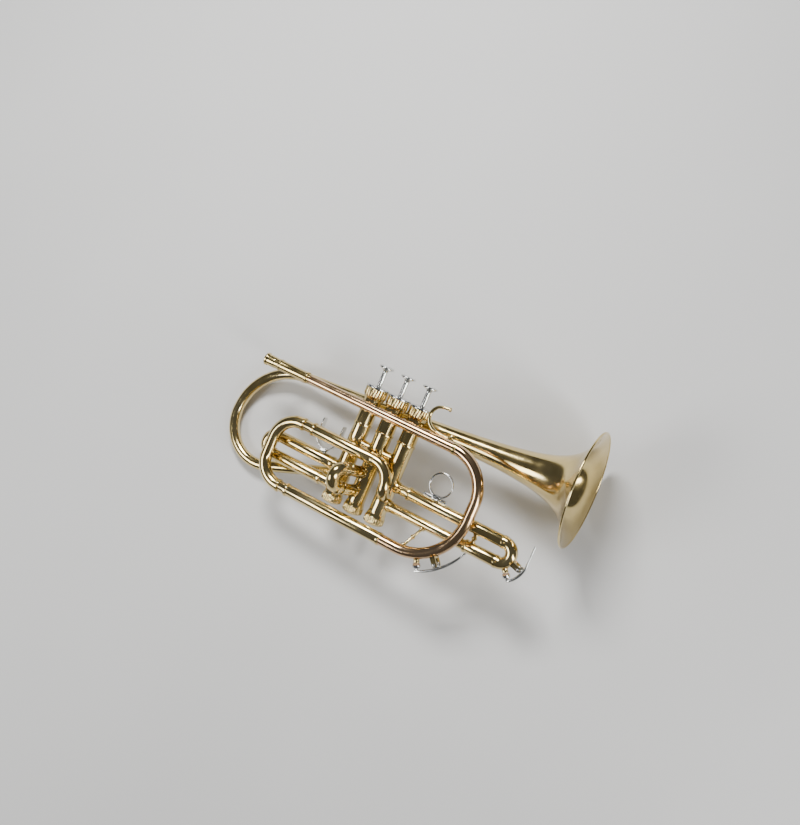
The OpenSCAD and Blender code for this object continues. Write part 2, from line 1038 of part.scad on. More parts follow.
mouthpiece_receiver();
leadpipe();
main_bow();
tuning_sleeve_upper();
tuning_sleeve_lower();
inlet_elbow();
valve_casing_1();
valve_casing_2();
valve_casing_3();
casing_knuckles();
first_slide_tubes();
second_slide_sleeves();
third_slide_tubes();
bell_crook();
bell_ferrule();
bell();
bell_rim();
receiver_brace();
bell_brace();
lower_brace();
leadpipe_stays();
pinky_hook();
water_key_mount();
top_cap_1();
top_cap_2();
top_cap_3();
bottom_cap_1();
bottom_cap_2();
bottom_cap_3();
tuning_crook();
tuning_legs();
first_slide_crook();
first_slide_sleeves();
thumb_saddle();
second_slide_crook();
second_slide_legs();
third_slide_crook();
third_slide_sleeves();
third_slide_rail();
third_key_mount();
finger_ring();
water_key_lever();
water_key_cork();
third_key_lever();
third_key_cork();
valve_piston_1();
valve_piston_2();
valve_piston_3();
valve_stem_1();
valve_stem_2();
valve_stem_3();
button_pearl_1();
button_pearl_2();
button_pearl_3();
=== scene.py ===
import json
import math
from collections import namedtuple

import bmesh
import bpy
import numpy as np
from mathutils import Matrix, Vector


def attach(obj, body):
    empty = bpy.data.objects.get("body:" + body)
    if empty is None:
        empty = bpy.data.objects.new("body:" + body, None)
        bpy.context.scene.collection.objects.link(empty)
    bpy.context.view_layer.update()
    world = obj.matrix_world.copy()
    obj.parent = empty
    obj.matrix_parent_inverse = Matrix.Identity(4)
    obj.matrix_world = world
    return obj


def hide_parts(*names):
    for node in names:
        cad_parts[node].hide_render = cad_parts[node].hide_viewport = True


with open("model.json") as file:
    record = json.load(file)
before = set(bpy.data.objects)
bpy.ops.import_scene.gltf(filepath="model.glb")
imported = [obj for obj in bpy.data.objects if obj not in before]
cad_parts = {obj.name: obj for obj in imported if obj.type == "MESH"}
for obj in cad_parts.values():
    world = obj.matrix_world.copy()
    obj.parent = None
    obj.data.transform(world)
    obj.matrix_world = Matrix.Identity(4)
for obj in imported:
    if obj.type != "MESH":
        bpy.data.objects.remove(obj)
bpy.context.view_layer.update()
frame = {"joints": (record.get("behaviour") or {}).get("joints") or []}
joints = {j["name"]: j for j in frame["joints"]}

# ------------------------------------------------------------ design frame
# Everything below is drawn in the cornet's own frame, in millimetres: X runs
# forward to the bell, Y to the player's left, Z up the valves, and the top
# of the caps is Z = 0 on the second valve's axis. The joints say how that
# frame lies in the row.

VALVE_X = (-25.5, 0.0, 25.5)
MAIN_Y = -15.6
LEAD_Z = -21.2
LOW_Z = -133.2
TUNE_Z = -65.3
FIRST_Z = (-90.2, -109.6)
SECOND_Z = (-83.5, -103.7)
THIRD_Z = (-82.7, -103.0)
SECOND_SWING = math.radians(21)
RECEIVER_X = -146.5
LEAD_X = -94.0
BOW_TOP = (78.5, -61.2, 40.0)
BOW_LOW = (62.5, -77.2, 56.0)
BOW_OD = 11.6
SLEEVE_OD = 12.4
SLEEVE_ID = 11.6
LEG_OD = 11.0
TUNE_X = -80.0
TUNE_R = 24.5
ELBOW_R = 20.5
FIRST_X = -107.5
THIRD_X = 157.0
THIRD_MID = sum(THIRD_Z) / 2
THIRD_R = (THIRD_Z[0] - THIRD_Z[1]) / 2
PIVOT_H = 7.4
LEVER_H = 11.4
PAD_H = 3.8

# A water key: the centre (x, z), Y and outside radius of the bend it sits on,
# then the angles about that centre of its pivot, its pad and its lever's end
Key = namedtuple("Key", "centre y radius pivot pad end")
MAIN_KEY = Key(BOW_LOW[:2], MAIN_Y, BOW_LOW[2] + BOW_OD / 2, -49, -66, -26)
THIRD_KEY = Key((THIRD_X, THIRD_MID), 0.0, THIRD_R + SLEEVE_OD / 2,
                -16, -53, 5)

BELL_Y = 25.0
CROOK_Z = -26.4
CROOK_LEAN = math.radians(5.4)
BELL_TILT = math.radians(3.3)
CROOK_TOP = (-113.7, 60.5, 60.5)
CROOK_LOW = (-130.0, 60.5, 44.2)
CROOK_OD = 11.6
TAIL_RISE = math.radians(20)
TAIL_R = 40.0
TURN_R = 9.5
BELL_X = 200.0
BELL_D = 119.0
RIM_WIRE = 2.4
WALL = 0.6


def key_point(key, h):
    """Point at height h above the bend's outside, at the key's pivot."""
    (cx, cz), r, a = key.centre, key.radius + h, math.radians(key.pivot)
    return Vector((cx + r * math.cos(a), key.y, cz + r * math.sin(a)))


def design_to_row():
    """Matrix from design millimetres to the row's metres."""
    forward = -Vector(joints["first_slide_pull"]["axis"]).normalized()
    up = -Vector(joints["valve_1_press"]["axis"]).normalized()
    left = up.cross(forward)
    turn = Matrix((forward, left, up)).transposed() * 0.001
    pivot = Vector(joints["water_key_press"]["pos_m"])
    out = turn.to_4x4()
    out.translation = pivot - turn @ key_point(MAIN_KEY, PIVOT_H)
    return out


PLACE = design_to_row()
PLACE_R = np.array(PLACE.to_3x3())
PLACE_T = np.array(PLACE.translation)


# --------------------------------------------------------------- materials

def node_material(name):
    m = bpy.data.materials.new(name)
    m.use_nodes = True
    tree = m.node_tree
    shader = tree.nodes["Principled BSDF"]
    place = tree.nodes.new("ShaderNodeTexCoord")
    return m, tree, shader, place.outputs["Object"]


def noise(tree, place, scale, detail=4.0, stretch=(1, 1, 1)):
    mapping = tree.nodes.new("ShaderNodeMapping")
    mapping.inputs["Scale"].default_value = stretch
    tree.links.new(place, mapping.inputs["Vector"])
    n = tree.nodes.new("ShaderNodeTexNoise")
    n.inputs["Scale"].default_value = scale
    n.inputs["Detail"].default_value = detail
    tree.links.new(mapping.outputs["Vector"], n.inputs["Vector"])
    return n.outputs["Fac"]


def ramp(tree, value, stops):
    r = tree.nodes.new("ShaderNodeValToRGB")
    points = r.color_ramp.elements
    while len(points) < len(stops):
        points.new(0.5)
    for point, (at, colour) in zip(points, stops):
        point.position = at
        point.color = (*colour, 1)
    tree.links.new(value, r.inputs["Fac"])
    return r.outputs["Color"]


def spread(tree, value, low, high):
    r = tree.nodes.new("ShaderNodeMapRange")
    r.inputs["From Min"].default_value = 0.35
    r.inputs["From Max"].default_value = 0.65
    r.inputs["To Min"].default_value = low
    r.inputs["To Max"].default_value = high
    tree.links.new(value, r.inputs["Value"])
    return r.outputs["Result"]


def bump(tree, shader, value, strength, distance):
    b = tree.nodes.new("ShaderNodeBump")
    b.inputs["Strength"].default_value = strength
    b.inputs["Distance"].default_value = distance
    tree.links.new(value, b.inputs["Height"])
    tree.links.new(b.outputs["Normal"], shader.inputs["Normal"])


def polished(name, tones, rough, lacquer):
    """Polished metal: cloudy tone, finger-marked gloss, hairline scratches."""
    m, tree, shader, place = node_material(name)
    tree.links.new(ramp(tree, noise(tree, place, 24),
                        [(0.3, tones[0]), (0.52, tones[1]),
                         (0.72, tones[2])]),
                   shader.inputs["Base Color"])
    smudge = noise(tree, place, 75, 6)
    tree.links.new(spread(tree, smudge, rough[0], rough[1]),
                   shader.inputs["Roughness"])
    hairline = noise(tree, place, 420, 2, (0.12, 1, 1))
    bump(tree, shader, hairline, 0.05, 0.0002)
    shader.inputs["Metallic"].default_value = 1.0
    shader.inputs["Coat Weight"].default_value = lacquer
    shader.inputs["Coat Roughness"].default_value = 0.06
    shader.inputs["Coat IOR"].default_value = 1.5
    return m


def gold_lacquer():
    return polished("gold_lacquer",
                    [(0.60, 0.45, 0.17), (0.74, 0.58, 0.26),
                     (0.83, 0.68, 0.36)], (0.10, 0.20), 0.4)


def rose_brass():
    return polished("rose_brass",
                    [(0.58, 0.37, 0.18), (0.72, 0.48, 0.27),
                     (0.80, 0.57, 0.35)], (0.10, 0.20), 0.4)


def nickel():
    return polished("nickel",
                    [(0.56, 0.56, 0.55), (0.70, 0.70, 0.68),
                     (0.80, 0.80, 0.78)], (0.10, 0.22), 0.0)


def valve_metal():
    m, tree, shader, place = node_material("valve_metal")
    rings = noise(tree, place, 300, 3, (0.1, 1, 0.1))
    tree.links.new(ramp(tree, rings, [(0.3, (0.36, 0.35, 0.33)),
                                      (0.7, (0.55, 0.54, 0.50))]),
                   shader.inputs["Base Color"])
    tree.links.new(spread(tree, rings, 0.22, 0.38),
                   shader.inputs["Roughness"])
    bump(tree, shader, rings, 0.08, 0.0002)
    shader.inputs["Metallic"].default_value = 1.0
    return m


def pearl():
    m, tree, shader, place = node_material("pearl")
    cloud = noise(tree, place, 190, 5, (1, 0.5, 1))
    tree.links.new(ramp(tree, cloud, [(0.3, (0.80, 0.78, 0.76)),
                                      (0.45, (0.93, 0.90, 0.86)),
                                      (0.55, (0.84, 0.90, 0.88)),
                                      (0.7, (0.95, 0.92, 0.93))]),
                   shader.inputs["Base Color"])
    tree.links.new(spread(tree, cloud, 0.18, 0.32),
                   shader.inputs["Roughness"])
    bump(tree, shader, cloud, 0.05, 0.0002)
    shader.inputs["Coat Weight"].default_value = 0.6
    shader.inputs["Coat Roughness"].default_value = 0.08
    return m


def cork():
    m, tree, shader, place = node_material("cork")
    grain = noise(tree, place, 900, 5)
    tree.links.new(ramp(tree, grain, [(0.35, (0.16, 0.08, 0.035)),
                                      (0.5, (0.42, 0.26, 0.13)),
                                      (0.7, (0.55, 0.37, 0.20))]),
                   shader.inputs["Base Color"])
    tree.links.new(spread(tree, grain, 0.75, 0.95),
                   shader.inputs["Roughness"])
    bump(tree, shader, grain, 0.5, 0.0004)
    return m


def floor_paint():
    m, tree, shader, place = node_material("floor_paint")
    cloud = noise(tree, place, 3, 2)
    tree.links.new(ramp(tree, cloud, [(0.3, (0.74, 0.735, 0.72)),
                                      (0.7, (0.78, 0.775, 0.76))]),
                   shader.inputs["Base Color"])
    tree.links.new(spread(tree, cloud, 0.55, 0.7),
                   shader.inputs["Roughness"])
    return m


MATERIALS = {"gold_lacquer": gold_lacquer(), "rose_brass": rose_brass(),
             "nickel": nickel(), "valve_metal": valve_metal(),
             "pearl": pearl(), "cork": cork()}


# ------------------------------------------------------------- mesh tools

def unit(v):
    v = np.asarray(v, float)
    return v / np.linalg.norm(v)


def headings(path):
    """The path as an array, with its direction at each point."""
    path = np.asarray(path, float)
    along = np.gradient(path, axis=0)
    return path, along / np.linalg.norm(along, axis=1)[:, None]


# A direction that no tube here runs in, to start a section's turn from
OBLIQUE = (0.31, 0.92, 0.24)


class Piece:
    """One visible piece, gathered from lathed, swept and boxed solids."""

    def __init__(self):
        self.verts = []
        self.faces = []
        self.slots = []
        self.names = []

    def grid(self, rings, finish, closed_ends):
        """Skins a stack of rings of equal size, joined end to end or capped."""
        if finish not in self.names:
            self.names.append(finish)
        slot = self.names.index(finish)
        base = sum(len(v) for v in self.verts)
        count, size = len(rings), len(rings[0])
        self.verts.append(np.concatenate(rings))
        last = count if closed_ends == "loop" else count - 1
        for i in range(last):
            a = base + i * size
            b = base + ((i + 1) % count) * size
            for j in range(size):
                k = (j + 1) % size
                self.faces.append((a + j, a + k, b + k, b + j))
                self.slots.append(slot)
        if closed_ends == "cap":
            self.faces.append(tuple(base + j for j in reversed(range(size))))
            self.faces.append(tuple(base + (count - 1) * size + j
                                    for j in range(size)))
            self.slots += [slot, slot]

    def lathe(self, profile, origin, axis, finish, steps=96, flute=None):
        """Turns a closed (height, radius) outline about an axis.

        flute = (number, depth, lowest, highest, least radius) cuts grooves
        along the axis into whatever of the outline lies in those limits.
        """
        z = unit(axis)
        x = unit(np.cross(z, (0, 1, 0)) if abs(z[1]) < 0.9
                 else np.cross(z, (1, 0, 0)))
        y = np.cross(z, x)
        origin = np.asarray(origin, float)
        number, depth, low, high, least = flute or (0, 0, 0, 0, math.inf)
        rings = []
        for j in range(steps):
            t = 2 * math.pi * j / steps
            out = x * math.cos(t) + y * math.sin(t)
            groove = depth * abs(math.sin(number * t / 2)) ** 0.7
            ring = []
            for h, r in profile:
                cut = groove if low <= h <= high and r > least else 0
                ring.append(origin + z * h + out * (r - cut))
            rings.append(np.array(ring))
        self.grid(rings, finish, "loop")

    def sweep(self, path, section, finish, side=None, scale=None):
        """Carries a closed (u, v) section along a path. v lies on side."""
        path, along = headings(path)
        if side is None:
            side = np.cross(along[0], OBLIQUE)
        v = unit(side - along[0] * np.dot(side, along[0]))
        rings = []
        for i, (p, t) in enumerate(zip(path, along)):
            v = unit(v - t * np.dot(v, t))
            u = np.cross(v, t)
            k = 1 if scale is None else scale[i]
            rings.append(np.array([p + k * (u * a + v * b)
                                   for a, b in section]))
        self.grid(rings, finish, "cap")

    def tube(self, path, od, inner, finish):
        """Open tube along a path, with its inside wall."""
        path, along = headings(path)
        v = unit(np.cross(along[0], OBLIQUE))
        outer, inside = [], []
        for p, t in zip(path, along):
            v = unit(v - t * np.dot(v, t))
            u = np.cross(v, t)
            around = [u * math.cos(a) + v * math.sin(a) for a in TURN]
            outer.append(np.array([p + w * od / 2 for w in around]))
            inside.append(np.array([p + w * inner / 2 for w in around]))
        self.grid(outer + inside[::-1], finish, "loop")

    def make(self, name, body, *nodes):
        """Lays the piece in the row, gives it its body and hides the CAD nodes
        it stands in for.
        """
        points = np.concatenate(self.verts) @ PLACE_R.T + PLACE_T
        mesh = bpy.data.meshes.new(name)
        mesh.from_pydata(points.tolist(), [], self.faces)
        for finish in self.names:
            mesh.materials.append(MATERIALS[finish])
        mesh.polygons.foreach_set("material_index", self.slots)
        work = bmesh.new()
        work.from_mesh(mesh)
        bmesh.ops.remove_doubles(work, verts=work.verts, dist=2e-6)
        bmesh.ops.dissolve_degenerate(work, edges=work.edges, dist=1e-6)
        bmesh.ops.recalc_face_normals(work, faces=work.faces)
        work.to_mesh(mesh)
        work.free()
        mesh.shade_smooth()
        mesh.set_sharp_from_angle(angle=CREASE)
        piece = bpy.data.objects.new(name, mesh)
        bpy.context.scene.collection.objects.link(piece)
        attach(piece, body)
        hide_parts(*nodes)
        return piece


CREASE = math.radians(40)
TUBE_SIDES = 48
TURN = [2 * math.pi * k / TUBE_SIDES for k in range(TUBE_SIDES)]


def disc(d, steps=24):
    """Round section of diameter d."""
    return [(d / 2 * math.cos(2 * math.pi * k / steps),
             d / 2 * math.sin(2 * math.pi * k / steps))
            for k in range(steps)]


def rounded(w, h, r, steps=4):
    """Rounded rectangle, w across u and h across v."""
    out = []
    for k, (sx, sy) in enumerate(((1, 1), (-1, 1), (-1, -1), (1, -1))):
        for i in range(steps + 1):
            a = math.pi / 2 * (k + i / steps)
            out.append((sx * (w / 2 - r) + r * math.cos(a),
                        sy * (h / 2 - r) + r * math.sin(a)))
    return out


def softened(outline, r, steps=4):
    """Closed outline with every corner rounded to at most radius r."""
    out = []
    n = len(outline)
    for i in range(n):
        p = np.array(outline[i], float)
        a = np.array(outline[i - 1], float) - p
        b = np.array(outline[(i + 1) % n], float) - p
        la, lb = np.linalg.norm(a), np.linalg.norm(b)
        cut = min(r, la * 0.45, lb * 0.45)
        start, end = p + a / la * cut, p + b / lb * cut
        for k in range(steps + 1):
            t = k / steps
            out.append(tuple((1 - t) ** 2 * start + 2 * t * (1 - t) * p
                             + t * t * end))
    return out


def line(a, b, n=2):
    """Straight path of n points."""
    return [np.array(a, float) + (np.array(b, float) - np.array(a, float))
            * k / (n - 1) for k in range(n)]


def arc(c, r, a0, a1, y=0.0, step=3.0):
    """Arc in the X-Z plane about c = (x, z), in degrees."""
    n = max(3, int(abs(a1 - a0) / step) + 1)
    return [np.array((c[0] + r * math.cos(math.radians(a)), y,
                      c[1] + r * math.sin(math.radians(a))))
            for a in np.linspace(a0, a1, n)]


def joined(*parts):
    """One path from several, without its repeated joints."""
    out = []
    for part in parts:
        for p in part:
            if not out or np.linalg.norm(p - out[-1]) > 1e-4:
                out.append(p)
    return out


def flowing(points, n):
    """Smooth curve through points, n steps to each."""
    pts = [2 * points[0] - points[1], *points, 2 * points[-1] - points[-2]]
    out = []
    for a, b, c, d in zip(pts, pts[1:], pts[2:], pts[3:]):
        for t in np.arange(n) / n:
            out.append(0.5 * (2 * b + (c - a) * t
                              + (2 * a - 5 * b + 4 * c - d) * t * t
                              + (3 * b - a - 3 * c + d) * t ** 3))
    return out + [pts[-2]]


def bead(piece, at, axis, od, inner, width):
    """Rounded end ring on a tube, starting at a point and running on."""
    piece.lathe(softened([(0, inner / 2), (width, inner / 2),
                          (width, od / 2), (0, od / 2)], 0.5),
                at, axis, "gold_lacquer", 64)


def sleeve(piece, x0, x1, y, z):
    """Outer slide tube along X."""
    piece.lathe(softened([(0, SLEEVE_ID / 2), (x1 - x0, SLEEVE_ID / 2),
                          (x1 - x0, SLEEVE_OD / 2), (0, SLEEVE_OD / 2)],
                         0.15, 2), (x0, y, z), (1, 0, 0), "gold_lacquer",
                64)


def rod_profile(length, r, foot, collar=True):
    """Turned rod with flared feet and, on a long one, a middle collar."""
    flare = [(0, 0), (0, foot), (0.7, foot), (1.1, foot * 0.72),
             (1.8, r * 1.25), (2.8, r)]
    out = list(flare)
    if collar:
        m = length / 2
        out += [(m - 1.6, r), (m - 1.0, r * 1.5), (m, r * 1.75),
                (m + 1.0, r * 1.5), (m + 1.6, r)]
    out += [(length - h, q) for h, q in reversed(flare)]
    return out


def stay(piece, a, b, r=1.5, foot=3.4, collar=True):
    """Turned brace from a to b."""
    a, b = np.array(a, float), np.array(b, float)
    piece.lathe(rod_profile(np.linalg.norm(b - a), r, foot, collar), a, b - a,
                "gold_lacquer", 40)


# ------------------------------------------------------------ main tubing

def mouthpiece_receiver():
    p = Piece()
    outline = [(0, 5.2), (0, 5.8), (0.7, 6.5), (2.4, 6.5), (3.6, 5.9),
               (11.5, 5.75), (12, 5.5), (17.2, 5.5), (17.6, 6.1),
               (19.4, 6.1), (19.8, 5.5), (49.8, 5.5), (50.2, 6.1),
               (52.5, 6.1), (52.5, 4.3), (24, 4.3), (24, 4.8), (0.5, 4.8)]
    p.lathe(softened(outline, 0.35), (RECEIVER_X, MAIN_Y, LEAD_Z), (1, 0, 0),
            "gold_lacquer")
    p.make("mouthpiece_receiver_tube", "cornet_body", "mouthpiece_receiver")


def leadpipe():
    p = Piece()
    run = BOW_TOP[0] - LEAD_X
    p.lathe([(0, 3.7), (0, 4.3), (run, 5.4), (run, 4.8)],
            (LEAD_X, MAIN_Y, LEAD_Z), (1, 0, 0), "rose_brass")
    bead(p, (LEAD_X, MAIN_Y, LEAD_Z), (1, 0, 0), 9.8, 8.5, 2.5)
    p.make("leadpipe_tube", "cornet_body", "leadpipe")


def main_bow():
    p = Piece()
    path = joined(arc(BOW_TOP[:2], BOW_TOP[2], 90, 0, MAIN_Y, 2.5),
                  arc(BOW_LOW[:2], BOW_LOW[2], 0, -90, MAIN_Y, 2.0),
                  line((BOW_LOW[0], MAIN_Y, LOW_Z), (37, MAIN_Y, LOW_Z)))
    p.tube(path, BOW_OD, BOW_OD - 2 * WALL, "rose_brass")
    bead(p, (BOW_TOP[0] - 1.5, MAIN_Y, LEAD_Z), (1, 0, 0), BOW_OD + 0.7,
         10.6, 3.4)
    p.make("main_bow_tube", "cornet_body", "main_bow")


def tuning_sleeves():
    upper = Piece()
    sleeve(upper, -66.8, 7, MAIN_Y, TUNE_Z)
    bead(upper, (-66.8, MAIN_Y, TUNE_Z), (1, 0, 0), SLEEVE_OD + 1.4,
         SLEEVE_ID, 2.6)
    bead(upper, (4.4, MAIN_Y, TUNE_Z), (1, 0, 0), SLEEVE_OD + 1.2,
         SLEEVE_ID, 2.6)
    upper.make("tuning_sleeve_top", "cornet_body", "tuning_sleeve_upper")
    lower = Piece()
    sleeve(lower, -69, 45.5, MAIN_Y, LOW_Z)
    bead(lower, (-69, MAIN_Y, LOW_Z), (1, 0, 0), SLEEVE_OD + 1.4, SLEEVE_ID,
         2.6)
    bead(lower, (42.5, MAIN_Y, LOW_Z), (1, 0, 0), SLEEVE_OD + 1.2, SLEEVE_ID,
         3)
    lower.make("tuning_sleeve_bottom", "cornet_body", "tuning_sleeve_lower")


def inlet_elbow():
    p = Piece()
    z = TUNE_Z - ELBOW_R
    x = 7 + ELBOW_R
    turn = 9.0
    second = [np.array((x, MAIN_Y + turn - turn * math.cos(a),
                        z - turn * math.sin(a)))
              for a in np.linspace(0, math.pi / 2, 24)]
    path = joined(arc((7, z), ELBOW_R, 90, 0, MAIN_Y), second,
                  line(second[-1], (x, -3, z - turn)))
    p.tube(path, SLEEVE_OD, SLEEVE_OD - 2 * WALL, "gold_lacquer")
    p.make("inlet_elbow_tube", "cornet_body", "inlet_elbow")


def leadpipe_stays():
    p = Piece()
    for i in (0, 2):
        stay(p, (VALVE_X[i], MAIN_Y + 4.2, LEAD_Z),
             (VALVE_X[i], -8.8, LEAD_Z), 1.9, 2.0, False)
    p.make("leadpipe_stay_pair", "cornet_body", "leadpipe_stays")


def pinky_hook():
    p = Piece()
    y = MAIN_Y + 1.6
    swan = ((67.5, -15.3), (60, -15.0), (53, -14.3), (47.5, -12.2),
            (43.2, -8.0), (41.5, -2.5), (42.4, 3.4), (46.2, 8.0),
            (52, 10.1), (58.4, 10.7))
    path = flowing([np.array((x, y, z)) for x, z in swan], 6)
    last = len(path) - 1
    p.sweep(path, rounded(3.0, 3.4, 1.4), "gold_lacquer", (0, 1, 0),
            [0.55 + 0.6 * min(1, 3.2 * k / last)
             - 0.2 * max(0, 4 * k / last - 3) for k in range(last + 1)])
    knob = [(-1.3, 0), (-1.2, 1.6), (-0.5, 2.2), (0.5, 2.2), (1.2, 1.6),
            (1.3, 0)]
    p.lathe(softened(knob, 0.5, 3), path[-1], (1, 0, 0.1), "gold_lacquer",
            32)
    p.make("little_finger_hook", "cornet_body", "pinky_hook")


# ------------------------------------------------------------ valve block

def valve_casing(i):
    p = Piece()
    p.lathe(softened([(-124.5, 8), (-2, 8), (-2, 9), (-39.2, 9),
                      (-39.5, 9.7), (-41.5, 9.7), (-41.8, 9),
                      (-124.5, 9)], 0.25, 3),
            (VALVE_X[i], 0, 0), (0, 0, 1), "gold_lacquer")
    p.make(f"casing_{i + 1}", "cornet_body", f"valve_casing_{i + 1}")


def casing_knuckles():
    p = Piece()
    for i in (0, 1):
        x = VALVE_X[i]
        p.lathe([(8.2, 5.0), (8.2, 5.8), (17.3, 5.8), (17.3, 5.0)],
                (x, 0, -60), (1, 0, 0), "gold_lacquer", 64)
    p.make("knuckle_tubes", "cornet_body", "casing_knuckles")


def top_cap(i):
    p = Piece()
    x = VALVE_X[i]
    grip = softened([(-13.5, 9), (-13.5, 10), (-10.6, 11.1), (-10.4, 11.7),
                     (-2.8, 11.7), (-2.5, 11.3), (-2.5, 9)], 0.3, 3)
    p.lathe(grip, (x, 0, 0), (0, 0, 1), "gold_lacquer", 288,
            (30, 0.45, -10.3, -2.9, 11.5))
    rim = softened([(-2.5, 2.8), (-2.5, 11.5), (-2.2, 12.2), (-0.5, 12.2),
                    (0, 11.6), (0, 7.4), (-0.35, 7.0), (-0.35, 3.4),
                    (0, 2.8)], 0.3, 3)
    p.lathe(rim, (x, 0, 0), (0, 0, 1), "nickel")
    p.make(f"cap_top_{i + 1}", "cornet_body", f"top_cap_{i + 1}")


def bottom_cap(i):
    p = Piece()
    outline = [(0, 1.5), (0, 8.6), (1.3, 10), (1.7, 10.5), (8.0, 10.5),
               (8.3, 10.0), (12, 9.3), (12, 9), (2, 9), (2, 1.5)]
    p.lathe(softened(outline, 0.35, 3), (VALVE_X[i], 0, -126.5), (0, 0, 1),
            "gold_lacquer", 256, (32, 0.5, 1.9, 7.8, 10.3))
    p.make(f"cap_bottom_{i + 1}", "cornet_body", f"bottom_cap_{i + 1}")


def valve(i):
    x = VALVE_X[i]
    body = f"valve_{i + 1}"
    piston = Piece()
    piston.lathe(softened([(-105, 0), (-105, 7.7), (-28, 7.7), (-28, 0)],
                          0.4, 3), (x, 0, 0), (0, 0, 1), "valve_metal")
    piston.make(f"piston_{i + 1}", body, f"valve_piston_{i + 1}")
    h = 21.7
    stem = Piece()
    outline = [(-28, 0), (-28, 2.6), (h - 6, 2.6), (h - 4.6, 3.0),
               (h - 3.4, 3.9), (h - 2.7, 6.3), (h - 1.8, 7.8),
               (h - 0.6, 7.8), (h, 7.2), (h, 6.1), (h - 0.9, 5.7),
               (h - 0.9, 0)]
    stem.lathe(softened(outline, 0.3, 3), (x, 0, 0), (0, 0, 1), "nickel")
    stem.make(f"stem_{i + 1}", body, f"valve_stem_{i + 1}")
    inlay = Piece()
    top = [(h - 0.9 + 0.4 + 0.7 * math.cos(t) ** 1.2, 5.7 * math.sin(t))
           for t in np.linspace(0, math.pi / 2, 10)]
    inlay.lathe(top + [(h - 0.9, 5.7), (h - 0.9, 0)], (x, 0, 0), (0, 0, 1),
                "pearl")
    inlay.make(f"pearl_{i + 1}", body, f"button_pearl_{i + 1}")


# ----------------------------------------------------------------- slides

def tuning_slide():
    p = Piece()
    up, low = TUNE_Z - TUNE_R, LOW_Z + TUNE_R
    path = joined(arc((TUNE_X, up), TUNE_R, 90, 180, MAIN_Y, 2.5),
                  arc((TUNE_X, low), TUNE_R, 180, 270, MAIN_Y, 2.5))
    p.tube(path, SLEEVE_OD, SLEEVE_OD - 2 * WALL, "gold_lacquer")
    for z in (TUNE_Z, LOW_Z):
        bead(p, (TUNE_X, MAIN_Y, z), (1, 0, 0), SLEEVE_OD + 1.2, LEG_OD, 3)
    p.make("tuning_bow", "tuning_slide", "tuning_crook")
    legs = Piece()
    for z in (TUNE_Z, LOW_Z):
        legs.lathe(softened([(0, 5), (66, 5), (66, 5.5), (0, 5.5)], 0.2, 2),
                   (TUNE_X, MAIN_Y, z), (1, 0, 0), "gold_lacquer", 64)
    legs.make("tuning_leg_pair", "tuning_slide", "tuning_legs")


def first_slide():
    inner = Piece()
    for z in FIRST_Z:
        inner.lathe(softened([(0, 5), (64, 5), (64, 5.5), (0, 5.5)], 0.2, 2),
                    (-98, 0, z), (1, 0, 0), "gold_lacquer", 64)
        bead(inner, (-36.0, 0, z), (1, 0, 0), SLEEVE_OD + 0.4, LEG_OD, 2.4)
    inner.make("first_inner_pair", "cornet_body", "first_slide_tubes")
    mid, r = sum(FIRST_Z) / 2, (FIRST_Z[0] - FIRST_Z[1]) / 2
    bow = Piece()
    bow.tube(arc((FIRST_X, mid), r, 90, 270, 0, 3), SLEEVE_OD, SLEEVE_ID,
             "gold_lacquer")
    for z in FIRST_Z:
        bead(bow, (FIRST_X, 0, z), (1, 0, 0), SLEEVE_OD + 1.2, SLEEVE_OD, 3)
    bow.make("first_bow", "first_slide", "first_slide_crook")
    outer = Piece()
    for z, end in zip(FIRST_Z, (-38.5, -45)):
        sleeve(outer, FIRST_X, end, 0, z)
        bead(outer, (end - 2.6, 0, z), (1, 0, 0), SLEEVE_OD + 1.4, SLEEVE_ID,
             2.6)
    outer.make("first_sleeve_pair", "first_slide", "first_slide_sleeves")


def thumb_saddle():
    p = Piece()
    x, z, r, t = -54.0, -68.2, 11.9, 1.2
    path = joined(line((x - r, 0, z + 16.5), (x - r, 0, z), 6),
                  arc((x, z), r, 180, 360, 0, 5),
                  line((x + r, 0, z), (x + r, 0, z + 16.5), 6))
    taper = [1] * len(path)
    taper[0] = taper[-1] = 0.82
    p.sweep(path, rounded(t, 9, 0.5), "nickel", (0, 1, 0), taper)
    foot_top = z - r - 0.3
    foot_low = FIRST_Z[0] + SLEEVE_OD / 2 - 0.9
    steps = np.linspace(0, 1, 8)
    foot = [(x, 0, foot_low + (foot_top - foot_low) * k) for k in steps]
    spread_out = [1 + 0.35 * (2 * k - 1) ** 4 for k in steps]
    p.sweep(foot, rounded(8.6, 4.6, 1.4), "nickel", (0, 1, 0), spread_out)
    p.make("thumb_rest", "first_slide", "thumb_saddle")


def outward(t, z):
    """Point at distance t from the second valve, along its slide."""
    return np.array((-t * math.sin(SECOND_SWING),
                     -t * math.cos(SECOND_SWING), z))


